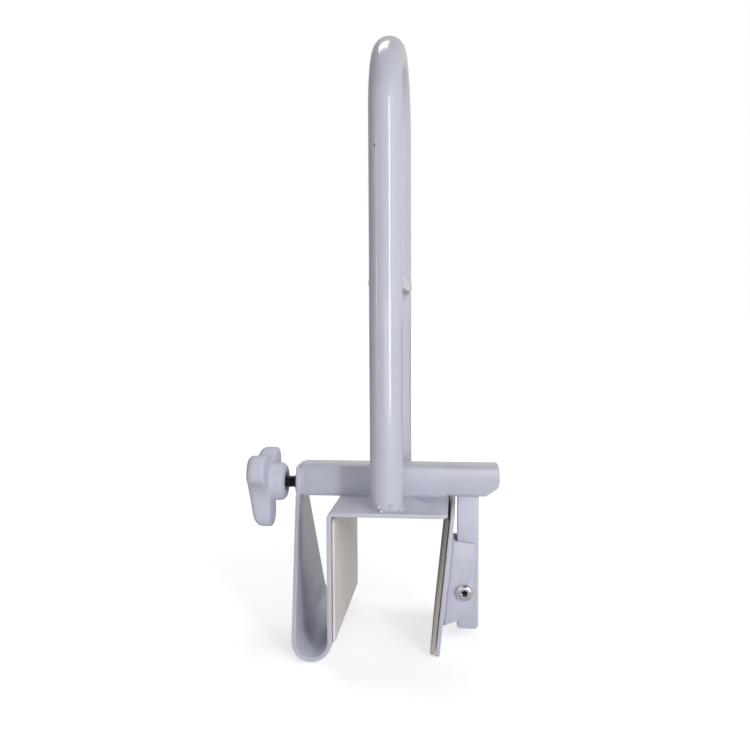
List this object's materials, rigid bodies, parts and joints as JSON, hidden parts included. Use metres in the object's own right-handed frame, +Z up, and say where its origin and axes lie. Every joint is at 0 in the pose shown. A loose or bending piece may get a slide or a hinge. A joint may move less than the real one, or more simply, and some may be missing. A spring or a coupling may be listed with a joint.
{
  "type": "bathtub grab rail",
  "caption": "Grab rail of bent tube on a clamp that grips the wall of a bathtub between a fixed jaw and a jaw drawn in by a hand screw.",
  "frame": {"origin": "underside of the top plate, where it rests on the rim of the tub, midway along the plate and under the centre of the rail", "axes": "+X across the tub wall from the fixed jaw to the moving jaw, +Y along the wall, +Z up"},
  "size_m": [0.2091, 0.147, 0.4867],
  "materials": {
    "powder_coat": "gloss powder coat, very pale grey with a lavender cast",
    "knob_plastic": "satin moulded plastic",
    "black_steel": "blackened steel",
    "zinc_steel": "zinc-plated steel",
    "chrome_bolt": "bright plated",
    "brass": "turned",
    "fixed_pad_rubber": "matt, light grey-beige",
    "jaw_pad_rubber": "matt, grey-beige"
  },
  "bodies": {
    "frame": {"clamp_frame": "powder_coat", "grab_rail": "powder_coat", "crossbar": "powder_coat", "beam_tube": "powder_coat", "beam_nose_plate": "powder_coat", "fixed_pad": "fixed_pad_rubber"},
    "screw": {"threaded_rod": "black_steel", "thrust_collar": "black_steel", "retaining_pin": "zinc_steel", "knob_body": "knob_plastic", "knob_insert": "brass"},
    "carriage": {"slide_block": "zinc_steel", "arm_tube": "powder_coat", "arm_foot_plate": "powder_coat", "pivot_bolt": "chrome_bolt", "near_spacer_washer": "zinc_steel", "far_spacer_washer": "zinc_steel", "nut_washer": "zinc_steel", "pivot_nut": "zinc_steel"},
    "jaw": {"clevis_bracket": "powder_coat", "jaw_plate": "powder_coat", "jaw_pad": "jaw_pad_rubber"}
  },
  "joints": [
    {"name": "knob_turn", "type": "hinge", "parent": "frame", "child": "screw", "pos_m": [-0.0789, 0, 0.0115], "axis": [1, 0, 0], "range_deg": [-720, 9600]},
    {"name": "jaw_slide", "type": "slide", "parent": "frame", "child": "carriage", "axis": [1, 0, 0], "range_m": [-0.04, 0.003]},
    {"name": "jaw_pivot", "type": "hinge", "parent": "carriage", "child": "jaw", "pos_m": [0.06029, 0, -0.0756], "axis": [0, 1, 0], "range_deg": [-14, 0.8]}
  ],
  "couplings": [
    {"joint": "knob_turn", "follows": "jaw_slide", "rad_per_m": -4188.8}
  ]
}
